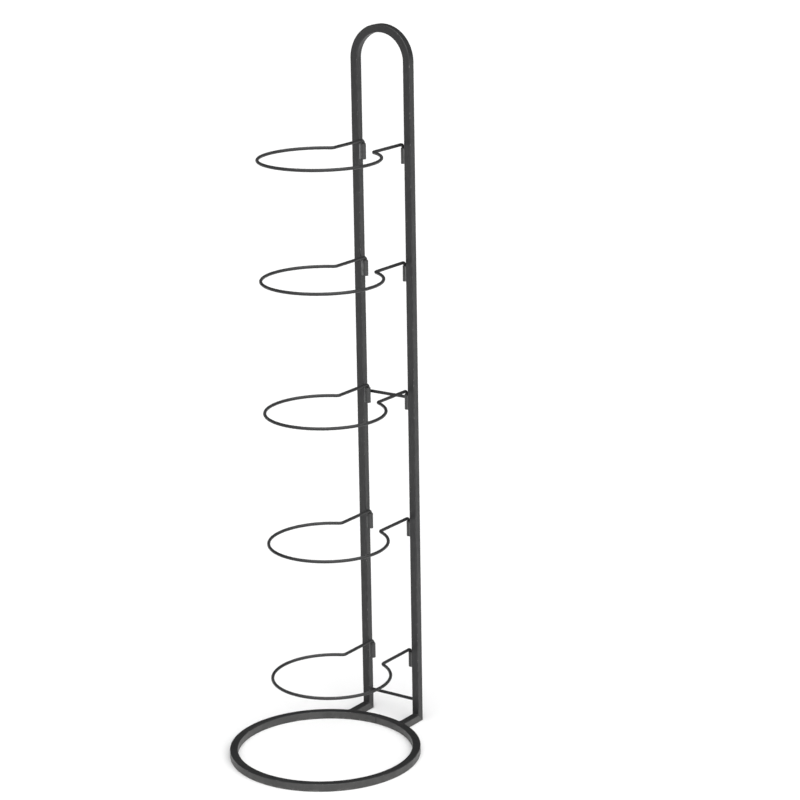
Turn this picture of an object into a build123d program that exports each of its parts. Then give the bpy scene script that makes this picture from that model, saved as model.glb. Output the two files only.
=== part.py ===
"""Free-standing ring storage rack: a round floor ring, an arched frame of square tube and lift-off wire rings.

Units are millimetres. +Z is up and the rings reach forward, towards -Y. The origin is on the floor, at the
middle of the rack's footprint.
"""

from build123d import *
import math
import os

# Square tube of the frame
TUBE = 20.0
WALL = 1.5
CORNER_RADIUS = 2.2          # outside corners of the drawn tube
CORNER_ARCS = 3              # short arcs that make up one corner

# Frame
HEIGHT = 1800.0
BASE_RADIUS = 230.0          # floor ring, on the tube's centre line
UPRIGHT_SPAN = 156.0         # between the centre lines of the uprights
UPRIGHT_BACK = 298.0         # from the floor ring's centre back to the uprights' centre line
SEAM_GAP = 0.4               # butt seam where the rolled floor ring closes, at the rear

# Cross bars: round wire lapped on the back faces of the uprights
BAR_DIAMETER = 8.0
BAR_LENGTH = 160.0
BAR_HEIGHTS = {"lower": 50.0, "middle": 864.0}

# Wire rings, numbered from the bottom up
WIRE = 8.0
RING_RADIUS = 148.0          # on the wire's centre line
RING_FORWARD = 264.0         # from the uprights' centre line forward to the middle of a ring
RING_HEIGHTS = [195.0, 550.0, 885.0, 1215.0, 1510.0]
ARM_SPAN = 119.0             # between the centre lines of a ring's two arms
KINK_RADIUS = 12.0           # where the ring turns into an arm
HOOK_RADIUS = 10.0           # where an arm turns down into its tail
TAIL_DROP = 48.0             # from the arm's centre line down to the tail's end
TAIL_CHAMFER = 0.8

# Sockets that take the tails, and the plates that carry the sockets
SOCKET_DIAMETER = 12.0
SOCKET_BORE = 9.0
SOCKET_DROP = 9.0            # from the arm's centre line down to the socket's rim
SOCKET_LENGTH = 39.0
PLATE_WIDTH = 15.0
PLATE_LENGTH = 37.0

# Places, measured from the origin
REAR_EDGE = UPRIGHT_BACK + TUBE / 2 + BAR_DIAMETER
FRONT_EDGE = -(BASE_RADIUS + TUBE / 2)
BASE_Y = -(REAR_EDGE + FRONT_EDGE) / 2
UPRIGHT_X = UPRIGHT_SPAN / 2
UPRIGHT_Y = BASE_Y + UPRIGHT_BACK
UPRIGHT_BACK_FACE = UPRIGHT_Y + TUBE / 2
RING_Y = UPRIGHT_Y - RING_FORWARD
ARM_X = ARM_SPAN / 2
ARCH_Z = HEIGHT - TUBE / 2 - UPRIGHT_X
SIDES = {"left": -1, "right": 1}
CHARCOAL = Color(0.23, 0.24, 0.25)


def save(shape, node):
    """Write one piece to its own file, named after its node."""
    shape.label = node
    shape.color = CHARCOAL
    export_step(shape, f"parts/{node}.step")


def rounded_square(size, radius):
    """Outline of a square in the XY plane. Each rounded corner is several short arcs, one after another."""
    flat = size / 2 - radius
    turn = 90 / CORNER_ARCS
    quarter = [Line((size / 2, -flat), (size / 2, flat))]
    quarter += [CenterArc((flat, flat), radius, turn * step, turn) for step in range(CORNER_ARCS)]
    return Wire([Rot(0, 0, 90 * index) * piece.edge() for index in range(4) for piece in quarter])


def tube_section():
    """The square tube's hollow section, in the XY plane."""
    outer = rounded_square(TUBE, CORNER_RADIUS)
    inner = rounded_square(TUBE - 2 * WALL, CORNER_RADIUS - WALL)
    return Face(outer, [inner])


def base_ring():
    """Square tube rolled into the floor ring, with its butt seam at the rear.

    The corners' short arcs stay separate faces, so that a mesh of the ring follows them evenly.
    """
    seam_angle = math.degrees(SEAM_GAP / BASE_RADIUS)
    section = Plane.XZ * Pos(BASE_RADIUS, TUBE / 2) * tube_section()
    ring = revolve(section, Axis.Z, 360 - seam_angle, clean=False)
    return Pos(0, BASE_Y, 0) * Rot(0, 0, 90 + seam_angle / 2) * ring


def mitre_half(x, align):
    """A block on one side of the 45 degree plane where a foot stub meets its upright."""
    size = 4 * TUBE
    block = Box(size, size, size, align=(Align.CENTER, Align.CENTER, align))
    return Pos(x, UPRIGHT_BACK_FACE, 0) * Rot(-45, 0, 0) * block


def foot_stub(side):
    """Tube on the floor from the floor ring back to an upright, coped in front and mitred behind."""
    x = side * UPRIGHT_X
    section = Plane.XZ * Pos(x, TUBE / 2) * tube_section()
    stub = extrude(section, -UPRIGHT_BACK_FACE)
    floor_ring_disc = Pos(0, BASE_Y, 0) * Cylinder(BASE_RADIUS + TUBE / 2, 4 * TUBE)
    return stub - floor_ring_disc - mitre_half(x, Align.MIN)


def upright(side):
    """Straight tube from the mitre on the floor up to the foot of the arch."""
    x = side * UPRIGHT_X
    tube = extrude(Pos(x, UPRIGHT_Y) * tube_section(), ARCH_Z)
    return tube - mitre_half(x, Align.MAX)


def top_arch():
    """Half circle of tube that joins the tops of the uprights, with its corners faced like the floor ring's."""
    section = Pos(UPRIGHT_X, UPRIGHT_Y, ARCH_Z) * tube_section()
    return revolve(section, Axis((0, UPRIGHT_Y, ARCH_Z), (0, -1, 0)), 180, clean=False)


def cross_bar(height):
    """Round bar lapped across the back faces of the uprights."""
    y = UPRIGHT_BACK_FACE + BAR_DIAMETER / 2
    return Pos(0, y, height) * Rot(0, 90, 0) * Cylinder(BAR_DIAMETER / 2, BAR_LENGTH)


def half_ring_path(height):
    """Centre line of the right half of a wire ring, from its tail's end to the middle of its front."""
    reach = RING_RADIUS + KINK_RADIUS
    kink_x = ARM_X + KINK_RADIUS
    kink_y = RING_Y + math.sqrt(reach**2 - kink_x**2)
    kink_centre = Vector(kink_x, kink_y, height)
    ring_centre = Vector(0, RING_Y, height)
    outward = (kink_centre - ring_centre).normalized()
    kink_start = Vector(ARM_X, kink_y, height)
    kink_end = ring_centre + outward * RING_RADIUS
    kink_middle = kink_centre - (outward + Vector(1, 0, 0)).normalized() * KINK_RADIUS
    hook_centre = Vector(ARM_X, UPRIGHT_Y - HOOK_RADIUS, height - HOOK_RADIUS)
    hook_start = hook_centre + Vector(0, HOOK_RADIUS, 0)
    hook_middle = hook_centre + Vector(0, 1, 1).normalized() * HOOK_RADIUS
    hook_end = hook_centre + Vector(0, 0, HOOK_RADIUS)
    tail_end = Vector(ARM_X, UPRIGHT_Y, height - TAIL_DROP)
    side_point = ring_centre + Vector(RING_RADIUS, 0, 0)
    front_point = ring_centre - Vector(0, RING_RADIUS, 0)
    return [
        Line(tail_end, hook_start),
        ThreePointArc(hook_start, hook_middle, hook_end),
        Line(hook_end, kink_start),
        ThreePointArc(kink_start, kink_middle, kink_end),
        ThreePointArc(kink_end, side_point, front_point),
    ]


def wire_ring(height):
    """One bent wire: a ring open at the rear, two arms running back, and two tails hooking down."""
    half = half_ring_path(height)
    edges = [piece.edge() for piece in half]
    mirrored = [edge.mirror(Plane.YZ) for edge in reversed(edges)]
    path = Wire(edges + mirrored)
    section = Pos(ARM_X, UPRIGHT_Y, height - TAIL_DROP) * Circle(WIRE / 2)
    wire = sweep(section, path)
    tail_rims = wire.edges().group_by(Axis.Z)[0]
    return chamfer(tail_rims, TAIL_CHAMFER)


def socket(side, height):
    """Short round tube that takes a ring's tail, standing off the upright's inner face."""
    tube = Cylinder(SOCKET_DIAMETER / 2, SOCKET_LENGTH) - Cylinder(SOCKET_BORE / 2, SOCKET_LENGTH)
    return Pos(side * ARM_X, UPRIGHT_Y, height - SOCKET_DROP - SOCKET_LENGTH / 2) * tube


def socket_plate(side, height):
    """Flat plate on an upright's inner face. The socket lies against the plate's middle."""
    thickness = UPRIGHT_X - TUBE / 2 - ARM_X - SOCKET_DIAMETER / 2
    x = side * (ARM_X + SOCKET_DIAMETER / 2 + thickness / 2)
    middle_z = height - SOCKET_DROP - SOCKET_LENGTH / 2
    return Pos(x, UPRIGHT_Y, middle_z) * Box(thickness, PLATE_WIDTH, PLATE_LENGTH)


os.makedirs("parts", exist_ok=True)
save(base_ring(), "base_ring")
save(top_arch(), "top_arch")
for name, side in SIDES.items():
    save(foot_stub(side), f"{name}_foot_stub")
    save(upright(side), f"{name}_upright")
for name, height in BAR_HEIGHTS.items():
    save(cross_bar(height), f"{name}_cross_bar")
for number, height in enumerate(RING_HEIGHTS, start=1):
    save(wire_ring(height), f"wire_ring_{number}")
    for name, side in SIDES.items():
        save(socket(side, height), f"{name}_socket_{number}")
        save(socket_plate(side, height), f"{name}_socket_plate_{number}")
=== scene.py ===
"""Looks, floor, light and camera for the ring storage rack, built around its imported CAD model.

Everything is in metres in the CAD model's own frame: +Z is up and the rings reach towards -Y. The CAD pieces
keep their shape and get painted-metal materials. The weld beads that join them are mesh pieces made here.
"""

import math

import bpy
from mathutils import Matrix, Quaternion, Vector


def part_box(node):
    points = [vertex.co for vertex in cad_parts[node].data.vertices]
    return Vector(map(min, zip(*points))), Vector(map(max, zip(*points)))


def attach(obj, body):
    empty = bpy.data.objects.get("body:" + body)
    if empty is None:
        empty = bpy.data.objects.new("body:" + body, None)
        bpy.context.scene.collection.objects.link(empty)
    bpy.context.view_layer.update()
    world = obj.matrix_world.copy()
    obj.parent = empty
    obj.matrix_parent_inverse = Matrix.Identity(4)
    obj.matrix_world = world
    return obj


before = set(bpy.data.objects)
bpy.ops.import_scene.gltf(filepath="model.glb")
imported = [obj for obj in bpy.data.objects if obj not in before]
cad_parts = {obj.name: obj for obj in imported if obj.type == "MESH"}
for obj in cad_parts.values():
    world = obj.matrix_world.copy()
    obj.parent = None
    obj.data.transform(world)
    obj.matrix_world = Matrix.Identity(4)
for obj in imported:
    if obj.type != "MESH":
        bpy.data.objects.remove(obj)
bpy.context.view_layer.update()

# Places read from the frame
LEVELS = range(1, 6)
SIDES = {"left": -1, "right": 1}
base_low, base_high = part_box("base_ring")
tube_low, tube_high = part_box("right_upright")
socket_low, socket_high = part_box("right_socket_1")
plate_low, plate_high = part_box("right_socket_plate_1")
TUBE = tube_high.x - tube_low.x
INNER_FACE = tube_low.x
OUTER_FACE = tube_high.x
FRONT_FACE = tube_low.y
BACK_FACE = tube_high.y
UPRIGHT_X = (tube_low.x + tube_high.x) / 2
UPRIGHT_Y = (tube_low.y + tube_high.y) / 2
ARCH_Z = tube_high.z
BASE_Y = (base_low.y + base_high.y) / 2
BASE_OUTSIDE = (base_high.x - base_low.x) / 2
SOCKET_X = (socket_low.x + socket_high.x) / 2
PLATE_FACE = plate_low.x
PLATE_HALF = (plate_high.y - plate_low.y) / 2
# Heights between which the painted highlight on the socket plates turns paler
UPPER_LEVELS_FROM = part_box("right_socket_plate_3")[1].z
UPPER_LEVELS_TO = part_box("right_socket_plate_4")[0].z
CORNER = 0.0022              # outside corner radius of the square tube
WIRE_RADIUS = 0.004

# Heights above the floor below which the floor tubes are worn
SCUFFED_BELOW = 0.0070
BARE_BELOW = 0.0022

# The photograph's viewpoint
AZIMUTH = math.radians(34.96)
ELEVATION = math.radians(15.68)
ROLL = math.radians(-0.914)
DISTANCE = 6.340
AIM = Vector((0.1655, 0.0777, 0.9200))
LENS = 117.6

# Colours, as linear values
COAT = (0.0140, 0.0142, 0.0148)
COAT_PALE = (0.0215, 0.0217, 0.0223)
SCUFF = (0.160, 0.156, 0.150)
# Pale tone: worn coat on the sockets, and a painted highlight on the socket plates and their welds
PALE_WEAR_AND_HIGHLIGHT = (0.196, 0.197, 0.198)
STEEL = (0.42, 0.41, 0.39)
DUST = (0.28, 0.275, 0.262)


# Shader nodes

def add_node(tree, kind, inputs=None, **settings):
    """Add a shader node, then set or link its inputs. Three numbers are a colour."""
    made = tree.nodes.new("ShaderNode" + kind)
    for name, value in settings.items():
        setattr(made, name, value)
    for key, value in (inputs or {}).items():
        if isinstance(value, bpy.types.NodeSocket):
            tree.links.new(value, made.inputs[key])
        elif made.inputs[key].type == "RGBA":
            made.inputs[key].default_value = (*value, 1.0)
        else:
            made.inputs[key].default_value = value
    return made


def maths(tree, operation, first, second=0.0, third=0.0):
    return add_node(tree, "Math", {0: first, 1: second, 2: third}, operation=operation).outputs[0]


def apart(tree, value, middle):
    """Distance between a value and a fixed middle."""
    return maths(tree, "ABSOLUTE", maths(tree, "SUBTRACT", value, middle))


def from_axis(tree, first, second):
    """Distance from an axis, out of the distances along two directions square to it."""
    squares = maths(tree, "MULTIPLY_ADD", first, first, maths(tree, "MULTIPLY", second, second))
    return maths(tree, "SQRT", squares)


def band(tree, value, start, end):
    """Smooth step from 0 at start to 1 at end. It falls where end is the lower of the two."""
    inputs = {"Value": value, "From Min": min(start, end), "From Max": max(start, end)}
    inputs.update({"To Min": float(start > end), "To Max": float(start < end)})
    return add_node(tree, "MapRange", inputs, interpolation_type="SMOOTHSTEP").outputs[0]


def spread(tree, value, low, high):
    """A value from 0 to 1, spread from low to high."""
    return add_node(tree, "MapRange", {"Value": value, "To Min": low, "To Max": high}).outputs[0]


def noise(tree, vector, scale, detail=2.0, roughness=0.5):
    inputs = {"Vector": vector, "Scale": scale, "Detail": detail, "Roughness": roughness}
    return add_node(tree, "TexNoise", inputs).outputs["Fac"]


def blend(tree, factor, first, second):
    """Colour that goes from first to second as factor goes from 0 to 1."""
    inputs = {"Fac": factor, "Color1": first, "Color2": second}
    return add_node(tree, "MixRGB", inputs).outputs[0]


def stretched(tree, vector, scale):
    """Coordinates scaled differently along each axis, for marks that run one way."""
    return add_node(tree, "Mapping", {"Vector": vector, "Scale": scale}).outputs[0]


def bumped(tree, height, strength, distance, under=None):
    inputs = {"Height": height, "Strength": strength, "Distance": distance}
    if under is not None:
        inputs["Normal"] = under
    return add_node(tree, "Bump", inputs).outputs[0]


class Coat:
    """A satin charcoal powder coat, which marks and wear are added to before it is finished."""

    def __init__(self, name):
        self.material = bpy.data.materials.new(name)
        self.material.use_nodes = True
        tree = self.tree = self.material.node_tree
        self.shader = tree.nodes["Principled BSDF"]
        self.shader.inputs["IOR"].default_value = 1.46
        coordinates = add_node(tree, "TexCoord")
        self.place = coordinates.outputs["Object"]
        self.normal = add_node(tree, "SeparateXYZ", {0: coordinates.outputs["Normal"]}).outputs
        self.axes = add_node(tree, "SeparateXYZ", {0: self.place}).outputs
        cloud = noise(tree, self.place, 9.0, 3.0)
        speckle = noise(tree, self.place, 1900.0, 2.0, 0.6)
        smudge = noise(tree, self.place, 55.0, 4.0, 0.6)
        tone = maths(tree, "MULTIPLY_ADD", cloud, 0.65, maths(tree, "MULTIPLY", speckle, 0.35))
        self.colour = blend(tree, band(tree, tone, 0.32, 0.72), COAT, COAT_PALE)
        self.roughness = spread(tree, band(tree, smudge, 0.35, 0.75), 0.38, 0.50)
        peel = bumped(tree, noise(tree, self.place, 620.0, 1.0), 0.35, 0.00006)
        self.bump = bumped(tree, speckle, 0.25, 0.00002, peel)
        self.metal = None

    def beside(self, middle):
        """Distance from the nearer of two planes, this far to the left and right of the middle."""
        return apart(self.tree, maths(self.tree, "ABSOLUTE", self.axes[0]), middle)

    def beyond(self, axis, middle):
        """Distance from a place along an axis."""
        return apart(self.tree, self.axes[axis], middle)

    def patches(self, scale, low, high, detail=3.0, place=None):
        """Scattered patches of this scale, with edges between these two noise levels."""
        return band(self.tree, noise(self.tree, place or self.place, scale, detail, 0.6), low, high)

    def both(self, first, second):
        return maths(self.tree, "MULTIPLY", first, second)

    def mark(self, mask, colour, roughness):
        """Cover the coat with another colour and roughness where the mask is 1."""
        self.colour = blend(self.tree, mask, self.colour, colour)
        inputs = {"Factor": mask, "A": self.roughness, "B": roughness}
        self.roughness = add_node(self.tree, "Mix", inputs).outputs[0]

    def bare(self, mask):
        """Wear the coat through to steel where the mask is 1."""
        self.mark(mask, STEEL, 0.34)
        self.metal = mask if self.metal is None else maths(self.tree, "MAXIMUM", self.metal, mask)

    def rub(self, mask):
        """Polish the coat where the mask is 1."""
        self.mark(mask, tuple(1.5 * value for value in COAT_PALE), 0.27)

    def dust(self, amount):
        """A thin film of dust on what faces up."""
        film = self.both(band(self.tree, self.normal[2], 0.6, 0.98), self.patches(26.0, 0.40, 0.80))
        self.mark(self.both(film, amount), DUST, 0.9)

    def finished(self):
        links, shader = self.tree.links, self.shader
        links.new(self.colour, shader.inputs["Base Color"])
        links.new(self.roughness, shader.inputs["Roughness"])
        links.new(self.bump, shader.inputs["Normal"])
        if self.metal is not None:
            links.new(self.metal, shader.inputs["Metallic"])
        return self.material


# Materials

def wear_corners(coat, across, up):
    """Rub and chip the corners of square tube, given the distances from its centre line across and up."""
    corner = maths(coat.tree, "MINIMUM", across, up)
    rubbed = band(coat.tree, corner, TUBE / 2 - CORNER, TUBE / 2 - 0.4 * CORNER)
    chipped = band(coat.tree, corner, TUBE / 2 - 0.7 * CORNER, TUBE / 2 - 0.35 * CORNER)
    coat.rub(coat.both(rubbed, coat.patches(38.0, 0.40, 0.66)))
    coat.mark(coat.both(chipped, coat.patches(150.0, 0.62, 0.67)), SCUFF, 0.55)


def add_hairlines(coat, scale, amount):
    """Fine scratches, drawn out along the axis whose scale is small."""
    lines = coat.patches(900.0, 0.62, 0.70, 1.0, stretched(coat.tree, coat.place, scale))
    coat.mark(coat.both(lines, amount), SCUFF, 0.5)


def upright_material():
    coat = Coat("upright_coat")
    add_hairlines(coat, (1.0, 1.0, 0.04), 0.25)
    wear_corners(coat, coat.beside(UPRIGHT_X), coat.beyond(1, UPRIGHT_Y))
    return coat.finished()


def arch_material():
    coat = Coat("arch_coat")
    add_hairlines(coat, (0.08, 1.0, 1.0), 0.15)
    radius = from_axis(coat.tree, coat.axes[0], coat.beyond(2, ARCH_Z))
    wear_corners(coat, apart(coat.tree, radius, UPRIGHT_X), coat.beyond(1, UPRIGHT_Y))
    coat.dust(0.03)
    return coat.finished()


def wear_on_floor(coat):
    """Dust on the sides of what lies on the floor, and scuffed and bare lower edges."""
    height = coat.axes[2]
    film = spread(coat.tree, coat.patches(30.0, 0.35, 0.70), 0.09, 0.15)
    coat.mark(coat.both(band(coat.tree, height, TUBE - 0.3 * CORNER, TUBE - CORNER), film), DUST, 0.6)
    scuffed = coat.both(band(coat.tree, height, SCUFFED_BELOW, 0.0005), coat.patches(75.0, 0.50, 0.62))
    coat.mark(coat.both(scuffed, 0.55), SCUFF, 0.6)
    coat.bare(coat.both(band(coat.tree, height, BARE_BELOW, 0.0004), coat.patches(48.0, 0.60, 0.66)))


def floor_ring_material():
    coat = Coat("floor_ring_coat")
    add_hairlines(coat, (0.30, 0.30, 1.0), 0.12)
    radius = from_axis(coat.tree, coat.axes[0], coat.beyond(1, BASE_Y))
    wear_corners(coat, apart(coat.tree, radius, BASE_OUTSIDE - TUBE / 2), coat.beyond(2, TUBE / 2))
    wear_on_floor(coat)
    coat.dust(0.03)
    return coat.finished()


def stub_material():
    coat = Coat("foot_stub_coat")
    add_hairlines(coat, (1.0, 0.08, 1.0), 0.15)
    wear_corners(coat, coat.beside(UPRIGHT_X), coat.beyond(2, TUBE / 2))
    wear_on_floor(coat)
    coat.dust(0.03)
    return coat.finished()


def bar_material():
    coat = Coat("bar_coat")
    coat.rub(coat.both(band(coat.tree, coat.normal[2], 0.4, 0.9), coat.patches(40.0, 0.45, 0.70)))
    coat.dust(0.03)
    return coat.finished()


def wire_material(level):
    """Wire of one ring: rubbed on top by what it carries, and bare where its tails stand in the sockets."""
    coat = Coat(f"ring_wire_coat_{level}")
    tree = coat.tree
    top = band(tree, coat.normal[2], 0.25, 0.90)
    in_front = band(tree, coat.axes[1], UPRIGHT_Y - 0.10, UPRIGHT_Y - 0.14)
    coat.rub(coat.both(coat.both(top, in_front), coat.patches(24.0, 0.38, 0.62)))
    coat.mark(coat.both(coat.both(top, in_front), coat.patches(210.0, 0.63, 0.70)), SCUFF, 0.5)
    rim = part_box(f"right_socket_{level}")[1].z
    tail = band(tree, coat.axes[2], rim + 0.0005, rim - 0.0020)
    streaks = coat.patches(170.0, 0.40, 0.56, 3.0, stretched(tree, coat.place, (1.0, 1.0, 0.12)))
    coat.bare(coat.both(tail, coat.both(streaks, 0.9)))
    coat.dust(0.02)
    return coat.finished()


def socket_material():
    """Socket tube: a little dulled, and worn bare on the rim and inside the bore, where the tails slide."""
    coat = Coat("socket_coat")
    tree = coat.tree
    coat.mark(coat.patches(60.0, 0.10, 0.45), tuple(0.25 * value for value in PALE_WEAR_AND_HIGHLIGHT), 0.44)
    radius = from_axis(tree, coat.beside(SOCKET_X), coat.beyond(1, UPRIGHT_Y))
    bore = band(tree, radius, WIRE_RADIUS + 0.0014, WIRE_RADIUS + 0.0006)
    rim = coat.both(band(tree, coat.normal[2], 0.8, 0.98), coat.patches(160.0, 0.45, 0.60))
    coat.bare(maths(tree, "MAXIMUM", coat.both(bore, coat.patches(220.0, 0.36, 0.52)), rim))
    return coat.finished()


def plate_painted_highlight_material():
    """Socket plate and its welds: pale patches painted on as a highlight, paler still on the upper two
    levels.
    """
    coat = Coat("socket_plate_painted_highlight_coat")
    # Pale patches over the whole plate: a painted highlight.
    coat.mark(coat.patches(120.0, 0.15, 0.50), tuple(0.6 * value for value in PALE_WEAR_AND_HIGHLIGHT), 0.42)
    # Upper two levels paler still: a stronger painted highlight.
    upper = band(coat.tree, coat.axes[2], UPPER_LEVELS_FROM, UPPER_LEVELS_TO)
    coat.mark(coat.both(upper, coat.patches(90.0, 0.25, 0.60)), PALE_WEAR_AND_HIGHLIGHT, 0.45)
    return coat.finished()


def weld_material():
    coat = Coat("weld_coat")
    coat.rub(coat.both(coat.patches(300.0, 0.50, 0.66), 0.5))
    return coat.finished()


def paint(node_names, material):
    for name in node_names:
        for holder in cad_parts[name].material_slots:
            holder.material = material


# Weld beads

BEAD_STEP = 0.00045
BEAD_SIDES = 10
RIPPLE_PITCH = 0.0017

# Half width, half height and share of ripple of each kind of bead. The mitre and arch seams are dressed.
STUB_BEAD = (0.0024, 0.0020, 0.11)
MITRE_SEAM = (0.0019, 0.0016, 0.05)
MITRE_FILLET = (0.0027, 0.0021, 0.11)
ARCH_SEAM = (0.0022, 0.0011, 0.04)
RING_SEAM = (0.0026, 0.0014, 0.12)
BAR_BEAD = (0.0021, 0.0015, 0.11)
SOCKET_BEAD = (0.0011, 0.0013, 0.11)
PLATE_BEAD = (0.0017, 0.0013, 0.11)


def resampled(corners):
    """Even steps along a path of (point, outward) pairs, as (point, outward, distance)."""
    samples, travelled = [], 0.0
    for (start, out_start), (end, out_end) in zip(corners, corners[1:]):
        length = (end - start).length
        count = max(1, round(length / BEAD_STEP))
        for index in range(count):
            share = index / count
            point, outward = start.lerp(end, share), out_start.lerp(out_end, share)
            samples.append((point, outward, travelled + share * length))
        travelled += length
    samples.append((*corners[-1], travelled))
    return samples


def add_bead(vertices, faces, corners, half_width, half_height, ripple):
    """A closed, rippled bead along a path of (point, outward) pairs, rounded off at both ends."""
    samples = resampled(corners)
    total = samples[-1][2]
    first = len(vertices)
    for index, (point, outward, distance) in enumerate(samples):
        before = samples[max(index - 1, 0)][0]
        after = samples[min(index + 1, len(samples) - 1)][0]
        along = (after - before).normalized()
        out = (outward - along * outward.dot(along)).normalized()
        aside = along.cross(out)
        wave = abs(math.sin(math.pi * distance / RIPPLE_PITCH))
        end_room = min(distance, total - distance) / half_width
        swell = (1 - ripple * (1 - wave)) * math.sqrt(min(1.0, 0.08 + end_room))
        for side in range(BEAD_SIDES):
            turn = 2 * math.pi * side / BEAD_SIDES
            reach = aside * (math.cos(turn) * half_width) + out * (math.sin(turn) * half_height)
            vertices.append(point + reach * swell)
    for ring in range(len(samples) - 1):
        here = first + ring * BEAD_SIDES
        for side in range(BEAD_SIDES):
            beside = (side + 1) % BEAD_SIDES
            ahead = here + BEAD_SIDES
            faces.append((here + side, here + beside, ahead + beside, ahead + side))
    last = first + (len(samples) - 1) * BEAD_SIDES
    faces.append(tuple(range(first + BEAD_SIDES - 1, first - 1, -1)))
    faces.append(tuple(range(last, last + BEAD_SIDES)))


def add_weld(name, beads, material):
    """One piece on the frame, made of beads given as (corners, half width, half height, ripple)."""
    vertices, faces = [], []
    for bead in beads:
        add_bead(vertices, faces, *bead)
    mesh = bpy.data.meshes.new(name)
    mesh.from_pydata(vertices, [], faces)
    mesh.polygons.foreach_set("use_smooth", [True] * len(faces))
    mesh.materials.append(material)
    weld = bpy.data.objects.new(name, mesh)
    bpy.context.scene.collection.objects.link(weld)
    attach(weld, "frame")


def sunk(surface_point, outward, half_height, proud):
    """A path point whose bead stands this far proud of the surface."""
    outward = outward.normalized()
    return surface_point - outward * (half_height - proud), outward


def stub_weld(side):
    """Bead round a foot stub where it meets the floor ring: up one side, over the top and down again."""
    half_height = STUB_BEAD[1]
    low, high, shoulder = 0.0030, TUBE - 0.0035, TUBE - 0.0008
    inset = 0.0020

    def corner(x, z, outward, proud):
        y = BASE_Y + math.sqrt(BASE_OUTSIDE**2 - x**2)
        return sunk(Vector((side * x, y, z)), outward, half_height, proud)

    def flank(x, away):
        """Points up one side of the stub."""
        radial = Vector((side * x / BASE_OUTSIDE, math.sqrt(1 - (x / BASE_OUTSIDE) ** 2), 0))
        outward = radial + Vector((side * away, 0, 0))
        return [
            corner(x, low, outward, half_height),
            corner(x, high, outward, half_height),
            corner(x, shoulder, outward + Vector((0, 0, 1.4)), 0.0012),
        ]

    across_top = (INNER_FACE + inset) - (OUTER_FACE - inset)
    top = [
        corner(OUTER_FACE - inset + across_top * step / 4, TUBE, Vector((0, 0, 1)), 0.0009)
        for step in range(5)
    ]
    corners = [*flank(OUTER_FACE, 1), *top, *reversed(flank(INNER_FACE, -1))]
    return [(corners, *STUB_BEAD)]


def mitre_weld(side):
    """Dressed seams on both sides of the mitre, and the fillet across its inner corner."""
    seams = []
    for x, away in ((OUTER_FACE, 1), (INNER_FACE, -1)):
        outward = Vector((side * away, 0, 0))
        low = sunk(Vector((side * x, BACK_FACE - 0.0012, 0.0020)), outward, MITRE_SEAM[1], 0.0003)
        high = sunk(Vector((side * x, FRONT_FACE + 0.0012, TUBE - 0.0012)), outward, MITRE_SEAM[1], 0.0003)
        seams.append(([low, high], *MITRE_SEAM))
    outward = Vector((0, -1, 1))
    fillet = [
        sunk(Vector((side * x, FRONT_FACE, TUBE)), outward, MITRE_FILLET[1], 0.0018)
        for x in (INNER_FACE + 0.0008, OUTER_FACE - 0.0008)
    ]
    return [*seams, (fillet, *MITRE_FILLET)]


def around_tube(half_height, proud):
    """Path round the tube's section, from the bottom middle, as (across, up, outward across, outward up)."""
    flat = TUBE / 2 - CORNER
    points = [(0.0, -TUBE / 2, 0.0, -1.0)]
    for quarter in range(4):
        middle = math.pi * (quarter / 2 - 0.25)
        centre = (math.copysign(flat, math.cos(middle)), math.copysign(flat, math.sin(middle)))
        for step in range(-2, 3):
            turn = middle + step * math.pi / 8
            out = (math.cos(turn), math.sin(turn))
            points.append((centre[0] + out[0] * CORNER, centre[1] + out[1] * CORNER, *out))
    points.append(points[0])
    return [
        (across - out_across * (half_height - proud), up - out_up * (half_height - proud), out_across, out_up)
        for across, up, out_across, out_up in points
    ]


def arch_weld(side):
    """Dressed butt seam between an upright and the arch."""
    corners = [
        (Vector((side * UPRIGHT_X + across, UPRIGHT_Y + up, ARCH_Z)), Vector((out_across, out_up, 0)))
        for across, up, out_across, out_up in around_tube(ARCH_SEAM[1], 0.00020)
    ]
    return [(corners, *ARCH_SEAM)]


def seam_weld():
    """Butt seam of the floor ring, at the rear, left as welded except underneath."""
    middle = BASE_Y + BASE_OUTSIDE - TUBE / 2
    corners = [
        (Vector((0, middle + across, TUBE / 2 + up)), Vector((0, out_across, out_up)))
        for across, up, out_across, out_up in around_tube(RING_SEAM[1], 0.00055)
        if up > 0.0016 - TUBE / 2
    ]
    return [(corners, *RING_SEAM)]


def bar_weld(bar):
    """Beads above, below and round both ends of a cross bar where it laps the uprights."""
    low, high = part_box(bar)
    height = (low.z + high.z) / 2
    radius = (high.z - low.z) / 2
    turn_x = high.x - 0.0022
    beads = []
    for side in SIDES.values():
        corners = []
        around = [(turn_x, angle) for angle in range(90, -91, -15)]
        inner_x = INNER_FACE + 0.0012
        for x, turn in [(inner_x, 90), *around, (inner_x, -90)]:
            ahead, up = math.cos(math.radians(turn)), math.sin(math.radians(turn))
            point = Vector((side * (x + ahead * radius), BACK_FACE + 0.0009, height + up * radius))
            corners.append((point, Vector((side * ahead, 1.0, up))))
        beads.append((corners, *BAR_BEAD))
    return beads


def socket_weld(side, level):
    """Upright beads between socket and plate, and level beads along the plate's upper and lower edges."""
    low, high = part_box(f"right_socket_{level}")
    plate_bottom, plate_top = (corner.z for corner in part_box(f"right_socket_plate_{level}"))
    groove = 0.0031
    beads = []
    for facing in (-1, 1):
        outward = Vector((-0.3 * side, facing, 0))
        corners = [
            (Vector((side * (PLATE_FACE - 0.0005), UPRIGHT_Y + facing * groove, z)), outward)
            for z in (low.z + 0.0022, high.z - 0.0022)
        ]
        beads.append((corners, *SOCKET_BEAD))
    for z, up in ((plate_bottom, -1), (plate_top, 1)):
        corners = [
            (Vector((side * INNER_FACE, UPRIGHT_Y + reach, z)), Vector((-side, 0, up)))
            for reach in (-PLATE_HALF + 0.0010, PLATE_HALF - 0.0010)
        ]
        beads.append((corners, *PLATE_BEAD))
    return beads


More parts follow.
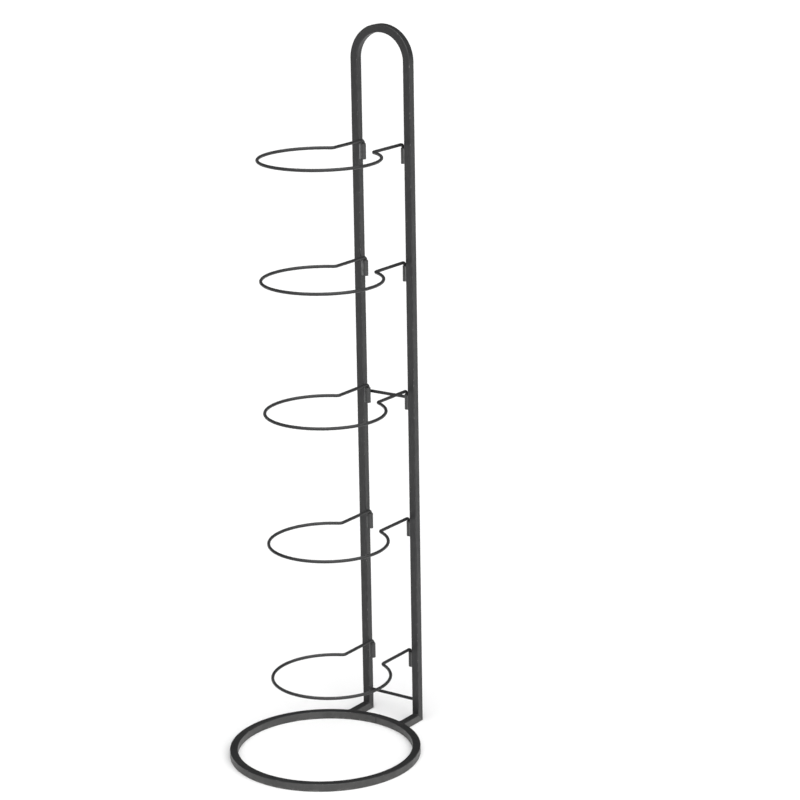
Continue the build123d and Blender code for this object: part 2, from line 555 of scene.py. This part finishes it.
def add_welds(material, socket_weld_material):
    for name, side in SIDES.items():
        add_weld(f"{name}_stub_weld", stub_weld(side), material)
        add_weld(f"{name}_mitre_weld", mitre_weld(side), material)
        add_weld(f"{name}_arch_weld", arch_weld(side), material)
        for level in LEVELS:
            add_weld(f"{name}_socket_weld_{level}", socket_weld(side, level), socket_weld_material)
    for bar in ("lower_cross_bar", "middle_cross_bar"):
        add_weld(f"{bar}_weld", bar_weld(bar), material)
    add_weld("base_ring_seam_weld", seam_weld(), material)


# Studio

FLOOR_REACH = 60.0
FLOOR_COLOUR = (0.94, 0.94, 0.94, 1.0)
LIGHT_FROM = Vector((0.50, -0.38, 0.78))
LIGHT_EDGES = (0.35, 0.95)   # cosines off the light's middle, where it fades out and where it is full
LIGHT_STRENGTHS = (0.08, 2.56)


def add_floor():
    """Large plain pale floor."""
    reach = FLOOR_REACH
    mesh = bpy.data.meshes.new("floor")
    corners = [(-reach, -reach, 0), (reach, -reach, 0), (reach, reach, 0), (-reach, reach, 0)]
    mesh.from_pydata(corners, [], [(0, 1, 2, 3)])
    material = bpy.data.materials.new("floor")
    material.use_nodes = True
    shader = material.node_tree.nodes["Principled BSDF"]
    shader.inputs["Base Color"].default_value = FLOOR_COLOUR
    shader.inputs["Roughness"].default_value = 1.0
    shader.inputs["Specular IOR Level"].default_value = 0.0
    mesh.materials.append(material)
    floor = bpy.data.objects.new("floor", mesh)
    bpy.context.scene.collection.objects.link(floor)


def add_light():
    """A sky that is one large soft light, in front and above, with a plain pale background."""
    world = bpy.data.worlds.new("studio")
    bpy.context.scene.world = world
    world.use_nodes = True
    tree = world.node_tree
    tree.nodes.clear()
    direction = add_node(tree, "TexCoord").outputs["Generated"]
    inputs = {0: direction, 1: LIGHT_FROM.normalized()}
    facing = add_node(tree, "VectorMath", inputs, operation="DOT_PRODUCT").outputs["Value"]
    strength = spread(tree, band(tree, facing, *LIGHT_EDGES), *LIGHT_STRENGTHS)
    lit = add_node(tree, "Background", {"Color": (1.0, 1.0, 1.0), "Strength": strength})
    pale = add_node(tree, "Background", {"Color": (1.0, 1.0, 1.0), "Strength": 1.0})
    seen = add_node(tree, "LightPath").outputs["Is Camera Ray"]
    both = add_node(tree, "MixShader", {0: seen, 1: lit.outputs[0], 2: pale.outputs[0]})
    add_node(tree, "OutputWorld", {"Surface": both.outputs[0]})


def add_camera():
    back = Vector((
        math.sin(AZIMUTH) * math.cos(ELEVATION),
        -math.cos(AZIMUTH) * math.cos(ELEVATION),
        math.sin(ELEVATION),
    ))
    data = bpy.data.cameras.new("camera")
    data.lens = LENS
    data.sensor_width = 36.0
    data.clip_end = 200.0
    camera = bpy.data.objects.new("camera", data)
    camera.location = AIM + back * DISTANCE
    camera.rotation_mode = "QUATERNION"
    camera.rotation_quaternion = back.to_track_quat("Z", "Y") @ Quaternion((0, 0, 1), ROLL)
    bpy.context.scene.collection.objects.link(camera)
    bpy.context.scene.camera = camera


paint(["base_ring"], floor_ring_material())
paint([f"{name}_foot_stub" for name in SIDES], stub_material())
paint([f"{name}_upright" for name in SIDES], upright_material())
paint(["top_arch"], arch_material())
paint(["lower_cross_bar", "middle_cross_bar"], bar_material())
for level in LEVELS:
    paint([f"wire_ring_{level}"], wire_material(level))
paint([f"{name}_socket_{level}" for name in SIDES for level in LEVELS], socket_material())
# The socket plates and their welds carry a painted highlight.
plate_highlight_coat = plate_painted_highlight_material()
paint([f"{name}_socket_plate_{level}" for name in SIDES for level in LEVELS], plate_highlight_coat)
add_welds(weld_material(), plate_highlight_coat)
add_floor()
add_light()
add_camera()
bpy.context.scene.view_settings.view_transform = "Standard"
